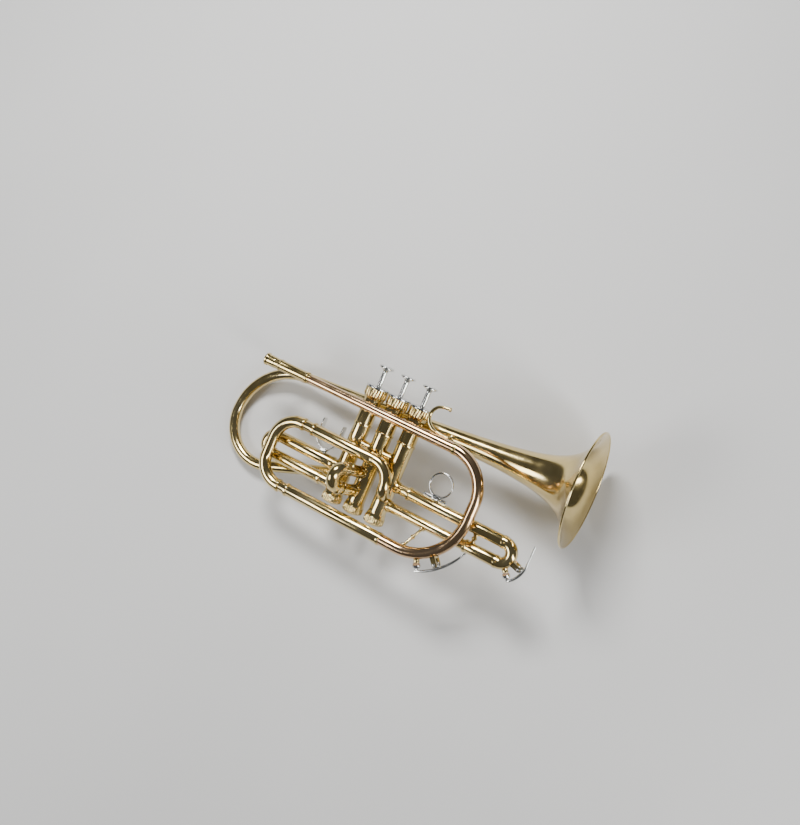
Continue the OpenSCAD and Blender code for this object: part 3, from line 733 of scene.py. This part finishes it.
def second_slide():
    way = outward(1, 0)
    outer, legs, bow = Piece(), Piece(), Piece()
    for z in SECOND_Z:
        outer.lathe(softened([(7.6, 5.8), (27.5, 5.8), (27.5, 6.2),
                              (7.6, 6.2)], 0.15, 2), (0, 0, z), way,
                    "gold_lacquer", 64)
        bead(outer, outward(25, z), way, SLEEVE_OD + 1.4, SLEEVE_ID, 2.5)
        bead(outer, outward(8, z), way, SLEEVE_OD + 1, SLEEVE_ID, 1.8)
        legs.lathe(softened([(12, 5), (34, 5), (34, 5.5), (12, 5.5)], 0.2,
                            2), (0, 0, z), way, "gold_lacquer", 64)
        bead(bow, outward(31, z), way, SLEEVE_OD + 1.2, LEG_OD, 3)
    mid, r = sum(SECOND_Z) / 2, (SECOND_Z[0] - SECOND_Z[1]) / 2
    turn = [outward(34 + r * math.cos(a), mid + r * math.sin(a))
            for a in np.linspace(math.pi / 2, -math.pi / 2, 49)]
    bow.tube(turn, SLEEVE_OD, SLEEVE_OD - 2 * WALL, "gold_lacquer")
    outer.make("second_sleeve_pair", "cornet_body", "second_slide_sleeves")
    legs.make("second_leg_pair", "second_slide", "second_slide_legs")
    bow.make("second_bow", "second_slide", "second_slide_crook")


def third_slide():
    inner = Piece()
    for z in THIRD_Z:
        run = THIRD_X - 2 - 34
        inner.lathe(softened([(0, 5), (run, 5), (run, 5.5), (0, 5.5)], 0.2,
                             2), (34, 0, z), (1, 0, 0), "gold_lacquer", 64)
        bead(inner, (33.8, 0, z), (1, 0, 0), SLEEVE_OD + 0.4, LEG_OD, 3)
    inner.make("third_inner_pair", "cornet_body", "third_slide_tubes")
    bow = Piece()
    bow.tube(arc((THIRD_X, THIRD_MID), THIRD_R, 90, -90, 0, 3), SLEEVE_OD,
             SLEEVE_ID, "gold_lacquer")
    for z in THIRD_Z:
        bead(bow, (THIRD_X - 3, 0, z), (1, 0, 0), SLEEVE_OD + 1.2, SLEEVE_OD,
             3)
    bow.make("third_bow", "third_slide", "third_slide_crook")
    outer = Piece()
    for z, start in zip(THIRD_Z, (48, 121)):
        sleeve(outer, start, THIRD_X, 0, z)
        bead(outer, (start, 0, z), (1, 0, 0), SLEEVE_OD + 1.4, SLEEVE_ID,
             2.6)
    stay(outer, (127.5, 0, THIRD_Z[1] + 5.9), (127.5, 0, THIRD_Z[0] - 5.9),
         1.7, 3)
    outer.make("third_sleeve_pair", "third_slide", "third_slide_sleeves")


def finger_ring():
    rail_z = THIRD_Z[0] + 8.1
    rail = Piece()
    rail.sweep([(x, 0, rail_z + 0.7) for x in (62, 62.6, 87.4, 88)],
               rounded(1.4, 3.4, 0.4), "nickel", (0, 1, 0),
               (0.75, 1, 1, 0.75))
    rail.sweep([(x, 0, rail_z - 1) for x in (62.4, 87.6)],
               rounded(2.4, 1.6, 0.3), "nickel", (0, 1, 0))
    rail.make("finger_ring_rail", "third_slide", "third_slide_rail")
    x, r = 75.8, 11.9
    z = rail_z + r + 1.6
    p = Piece()
    loop = [np.array((x + r * math.cos(a), 0, z + r * math.sin(a)))
            for a in np.linspace(-math.pi / 2 + 0.13, 1.5 * math.pi - 0.13,
                                 73)]
    p.sweep(loop, disc(2.2), "nickel", (0, 1, 0))
    gap, foot = 0.3, rail_z - 1.5
    shell = [(-3.2, foot), (-1.1, foot), (-1.1, rail_z - gap),
             (-2, rail_z - gap), (-2, rail_z + 1.4 + gap),
             (2, rail_z + 1.4 + gap), (2, rail_z - gap),
             (1.1, rail_z - gap), (1.1, foot), (3.2, foot),
             (3.2, foot + 4.8), (-3.2, foot + 4.8)]
    shell = softened(shell, 0.25, 2)
    p.grid([np.array([(x + h, a, b) for a, b in shell])
            for h in (-3, 3)], "nickel", "cap")
    p.lathe(softened([(0, 0), (0, 1.1), (0.9, 1.1), (0.9, 1.75),
                      (2.5, 1.75), (2.5, 0)], 0.25, 3),
            (x, -3.1, rail_z + 0.8), (0, -1, 0), "nickel", 40,
            (16, 0.18, 1.0, 2.4, 1.6))
    p.make("third_finger_ring", "finger_ring", "finger_ring")


# ------------------------------------------------------------- water keys

def at_angle(key, a, h, y=0.0):
    """Point at angle a and height h above the bend, y off its middle."""
    (cx, cz), r, t = key.centre, key.radius + h, math.radians(a)
    return np.array((cx + r * math.cos(t), key.y + y, cz + r * math.sin(t)))


def out_at(a):
    t = math.radians(a)
    return np.array((math.cos(t), 0, math.sin(t)))


def key_mount(key, name, body, node):
    """Nipple under the pad, two ears on a base block, and the pivot pin."""
    p = Piece()
    p.lathe(softened([(-0.8, 1.25), (3.5, 1.25), (3.5, 2.6), (2.9, 3.0),
                      (0.6, 3.0), (-0.8, 3.6)], 0.25, 3),
            at_angle(key, key.pad, 0), out_at(key.pad), "gold_lacquer", 48)
    a = key.pivot
    out = out_at(a)
    along = np.cross(out, (0, 1, 0))
    origin = at_angle(key, a, 0)
    for y in (-5.4, 5.4):
        ear = [(-2.7, -1.2), (2.7, -1.2), (2.5, PIVOT_H)]
        ear += [(2.5 * math.cos(t), PIVOT_H + 2.5 * math.sin(t))
                for t in np.linspace(0.3, math.pi - 0.3, 11)]
        ear.append((-2.5, PIVOT_H))
        p.grid([np.array([origin + along * u + out * v
                          + np.array((0, y + side, 0)) for u, v in ear])
                for side in (-0.6, 0.6)], "gold_lacquer", "cap")
    base = [origin + out * 0.1 + np.array((0, y, 0))
            for y in (-6, -5.6, 5.6, 6)]
    p.sweep(base, rounded(5, 2.8, 0.7), "gold_lacquer", out, (0.9, 1, 1, 0.9))
    p.lathe(softened([(-6.6, 0), (-6.6, 1.6), (-6, 1.6), (-6, 1), (6, 1),
                      (6, 1.6), (6.6, 1.6), (6.6, 0)], 0.2, 3),
            at_angle(key, a, PIVOT_H), (0, 1, 0), "nickel", 32)
    p.make(name, body, node)


def key_lever(key, name, body, node, tail):
    """Lever with its pad cup, pivot barrel and return spring."""
    p = Piece()
    pad = key.pad
    p.lathe(softened([(PAD_H + 1.8, 3.5), (PAD_H + 1.8, 4.5),
                      (PAD_H + 4.4, 3.6), (PAD_H + 4.9, 1.7),
                      (LEVER_H, 1.7), (LEVER_H, 0), (PAD_H + 2.6, 0),
                      (PAD_H + 2.6, 3.5)], 0.3, 3),
            at_angle(key, pad, 0), out_at(pad), "nickel", 48)
    path = joined(arc(key.centre, key.radius + LEVER_H, pad - 1.5, key.end,
                      key.y, 2), tail)
    last = len(path) - 1
    widths = [0.72 + 0.5 * math.sin(math.pi * (k / last) ** 0.75) ** 0.7
              for k in range(last + 1)]
    p.sweep(path, rounded(2.5, 3.5, 0.8), "nickel", (0, 1, 0), widths)
    a = key.pivot
    barrel = at_angle(key, a, PIVOT_H)
    p.lathe(softened([(-4.5, 1.06), (4.5, 1.06), (4.5, 2.3), (-4.5, 2.3)],
                     0.3, 3), barrel, (0, 1, 0), "nickel", 40)
    web = [at_angle(key, a, h) for h in (PIVOT_H + 1.8, PIVOT_H + 2.6,
                                         LEVER_H)]
    p.sweep(web, rounded(3.2, 3.2, 0.5), "nickel", (0, 1, 0))
    turns, per_turn = 3, 24
    count = turns * per_turn
    across = np.cross(out_at(a), (0, 1, 0))
    for side in (-1, 1):
        coil = []
        for k in range(count + 1):
            t = 2 * math.pi * k / per_turn
            coil.append(barrel + 2.75 * (out_at(a) * math.cos(t)
                                         + across * math.sin(t))
                        + np.array((0, side * (2.2 + 1.9 * k / count), 0)))
        p.sweep(coil, disc(0.55, 10), "nickel", (0, 1, 0))
    p.make(name, body, node)


def key_cork(key, name, body, node):
    p = Piece()
    p.lathe(softened([(PAD_H, 0), (PAD_H, 3.45), (PAD_H + 2.55, 3.45),
                      (PAD_H + 2.55, 0)], 0.3, 3),
            at_angle(key, key.pad, 0), out_at(key.pad), "cork", 40)
    p.make(name, body, node)


def water_keys():
    key_mount(MAIN_KEY, "water_key_saddle", "cornet_body", "water_key_mount")
    end = at_angle(MAIN_KEY, MAIN_KEY.end, LEVER_H)
    key_lever(MAIN_KEY, "water_key_arm", "water_key", "water_key_lever",
              [end])
    touch = Piece()
    touch.lathe(softened([(-0.9, 0), (-0.9, 3.2), (0.9, 3.2), (0.9, 0)], 0.5,
                         3), end, out_at(MAIN_KEY.end), "nickel", 48)
    touch.make("water_key_touch", "water_key", "water_key_lever")
    key_cork(MAIN_KEY, "water_key_pad", "water_key", "water_key_cork")
    key_mount(THIRD_KEY, "third_key_saddle", "third_slide",
              "third_key_mount")
    end = at_angle(THIRD_KEY, THIRD_KEY.end, LEVER_H)
    tail = line(end, (end[0], end[1], THIRD_Z[0] + 9), 5)
    key_lever(THIRD_KEY, "third_key_arm", "third_water_key",
              "third_key_lever", tail)
    key_cork(THIRD_KEY, "third_key_pad", "third_water_key",
             "third_key_cork")


# ---------------------------------------------------------- crook and bell

def on_crook(x, w, side=0.0):
    """Point of the crook's leaning plane, x forward and w downward."""
    c, s = math.cos(CROOK_LEAN), math.sin(CROOK_LEAN)
    return np.array((x, BELL_Y + side * c - w * s,
                     CROOK_Z - w * c - side * s))


def crook_arc(c, a0, a1):
    """Arc in the crook's plane about c = (x, w, radius), in degrees."""
    n = max(4, int(abs(a1 - a0) / 2) + 1)
    return [on_crook(c[0] + c[2] * math.cos(math.radians(a)),
                     c[1] + c[2] * math.sin(math.radians(a)))
            for a in np.linspace(a0, a1, n)]


def bell_start():
    """Where the crook's upper bend ends, in the crook's plane."""
    x, w, r = CROOK_TOP
    return x - r * math.sin(BELL_TILT), w - r * math.cos(BELL_TILT)


def bell_frame():
    """Origin and direction of the bell's axis."""
    x, w = bell_start()
    a = on_crook(x, w)
    b = on_crook(x + math.cos(BELL_TILT), w - math.sin(BELL_TILT))
    return a, unit(b - a)


def bell_crook():
    """Two bends, a rising straight run, and the way into the first valve."""
    rise = math.degrees(TAIL_RISE)
    low_x = CROOK_LOW[0] + CROOK_LOW[2] * math.sin(TAIL_RISE)
    low_w = CROOK_LOW[1] + CROOK_LOW[2] * math.cos(TAIL_RISE)
    end_x = VALVE_X[0] - TURN_R
    run = end_x - TAIL_R * math.sin(TAIL_RISE) - low_x
    end_w = (low_w - run * math.tan(TAIL_RISE)
             - TAIL_R * (1 - math.cos(TAIL_RISE)))
    turn = [on_crook(end_x + TURN_R * math.cos(a), end_w,
                     -TURN_R + TURN_R * math.sin(a))
            for a in np.linspace(math.pi / 2, 0, 25)]
    path = joined(
        crook_arc(CROOK_TOP, 270 - math.degrees(BELL_TILT), 180),
        crook_arc(CROOK_LOW, 180, 90 - rise),
        crook_arc((end_x, end_w + TAIL_R, TAIL_R), 270 - rise, 270),
        turn, [on_crook(end_x + TURN_R, end_w, -TURN_R - 3)])
    p = Piece()
    p.tube(path, CROOK_OD, CROOK_OD - 2 * WALL, "gold_lacquer")
    p.make("bell_bow", "cornet_body", "bell_crook")


def bell_ferrule():
    origin, axis = bell_frame()
    p = Piece()
    p.lathe(softened([(-3.2, 5.6), (0.6, 5.4), (0.6, 6.0), (0.2, 6.4),
                      (-2.8, 6.4), (-3.2, 6.0)], 0.4, 3), origin, axis,
            "gold_lacquer", 64)
    p.make("bell_joint_ring", "cornet_body", "bell_ferrule")


def bell():
    origin, axis = bell_frame()
    length = (BELL_X - bell_start()[0]) / math.cos(BELL_TILT)
    rim_r = BELL_D / 2 - 1.5
    flare, power = 12.6, 0.718
    outer, inner = [], []
    count = 110
    for i in range(count + 1):
        s = length * (i / count) ** 2
        r = rim_r * (flare / (s + flare)) ** power
        slope = -power * r / (s + flare)
        q = math.sqrt(1 + slope * slope)
        outer.append((length - s, r))
        inner.append((length - s - WALL * slope / q, r - WALL / q))
    p = Piece()
    p.lathe(outer + inner[::-1], origin, axis, "gold_lacquer", 160)
    p.make("bell_flare", "cornet_body", "bell")
    rim = Piece()
    rim_c = (BELL_D - RIM_WIRE) / 2
    rim.lathe([(length + u, rim_c + v) for u, v in disc(RIM_WIRE, 20)],
              origin, axis, "gold_lacquer", 160)
    rim.make("bell_rim_wire", "cornet_body", "bell_rim")


def braces():
    origin, axis = bell_frame()
    x = -124.0
    p = Piece()
    a = np.array((x, MAIN_Y, LEAD_Z))
    b = np.array((x, BELL_Y, CROOK_Z - 1.3))
    u = unit(b - a)
    stay(p, a + 5.3 * u, b - 5.6 * u)
    p.make("receiver_stay", "cornet_body", "receiver_brace")
    p = Piece()
    x = 60.0
    a = np.array((x, MAIN_Y, LEAD_Z))
    b = np.array((x, BELL_Y + 1, -16.4))
    u = unit(b - a)
    stay(p, a + 5.0 * u, b - 9.4 * u)
    p.make("bell_stay", "cornet_body", "bell_brace")
    p = Piece()
    a = np.array((78, 0, THIRD_Z[1]))
    b = np.array((67, MAIN_Y, LOW_Z + 0.4))
    u = unit(b - a)
    stay(p, a + 5.3 * u, b - 5.6 * u)
    p.make("lower_stay", "cornet_body", "lower_brace")


# ------------------------------------------------------------------ studio

def floor():
    """Plain pale floor, 12 m square."""
    size = 6.0
    mesh = bpy.data.meshes.new("studio_floor")
    mesh.from_pydata([(-size, -size, 0), (size, -size, 0), (size, size, 0),
                      (-size, size, 0)], [], [(0, 1, 2, 3)])
    mesh.materials.append(floor_paint())
    piece = bpy.data.objects.new("studio_floor", mesh)
    bpy.context.scene.collection.objects.link(piece)


def softbox(name, at, aim, size, power):
    """Rectangular soft light, aimed at a point."""
    data = bpy.data.lights.new(name, "AREA")
    data.shape = "RECTANGLE"
    data.size, data.size_y = size
    data.energy = power
    lamp = bpy.data.objects.new(name, data)
    lamp.location = at
    lamp.rotation_euler = (Vector(aim) - Vector(at)).to_track_quat(
        "-Z", "Y").to_euler()
    bpy.context.scene.collection.objects.link(lamp)


def studio():
    middle = (0, 0, 0.05)
    softbox("key_box", (-0.45, 0.85, 1.15), middle, (0.55, 0.35), 24)
    softbox("side_box", (1.15, -0.25, 0.8), middle, (0.22, 0.9), 10)
    softbox("fill_box", (-1.0, -0.85, 1.2), middle, (0.8, 0.5), 13)
    world = bpy.data.worlds.new("studio")
    world.use_nodes = True
    sky = world.node_tree.nodes["Background"]
    sky.inputs["Color"].default_value = (0.75, 0.77, 0.80, 1)
    sky.inputs["Strength"].default_value = 0.12
    bpy.context.scene.world = world


def camera():
    """Stands where the photographer stood, over the cornet's right side."""
    at = PLACE @ Vector((401.4, -1008.5, 99.7))
    aim = PLACE @ Vector((8.1, -5.0, -13.6))
    up = PLACE.to_3x3() @ Vector((-0.402, -0.0543, 0.914))
    back = (at - aim).normalized()
    right = up.cross(back).normalized()
    top = back.cross(right)
    data = bpy.data.cameras.new("camera")
    data.sensor_fit = "HORIZONTAL"
    data.sensor_width = 36.0
    data.lens = 49.5
    eye = bpy.data.objects.new("camera", data)
    pose = Matrix((right, top, back)).transposed().to_4x4()
    pose.translation = at
    eye.matrix_world = pose
    bpy.context.scene.collection.objects.link(eye)
    bpy.context.scene.camera = eye


camera()
mouthpiece_receiver()
leadpipe()
main_bow()
tuning_sleeves()
inlet_elbow()
leadpipe_stays()
pinky_hook()
for number in range(3):
    valve_casing(number)
    top_cap(number)
    bottom_cap(number)
    valve(number)
casing_knuckles()
tuning_slide()
first_slide()
thumb_saddle()
second_slide()
third_slide()
finger_ring()
water_keys()
bell_crook()
bell_ferrule()
bell()
braces()
floor()
studio()
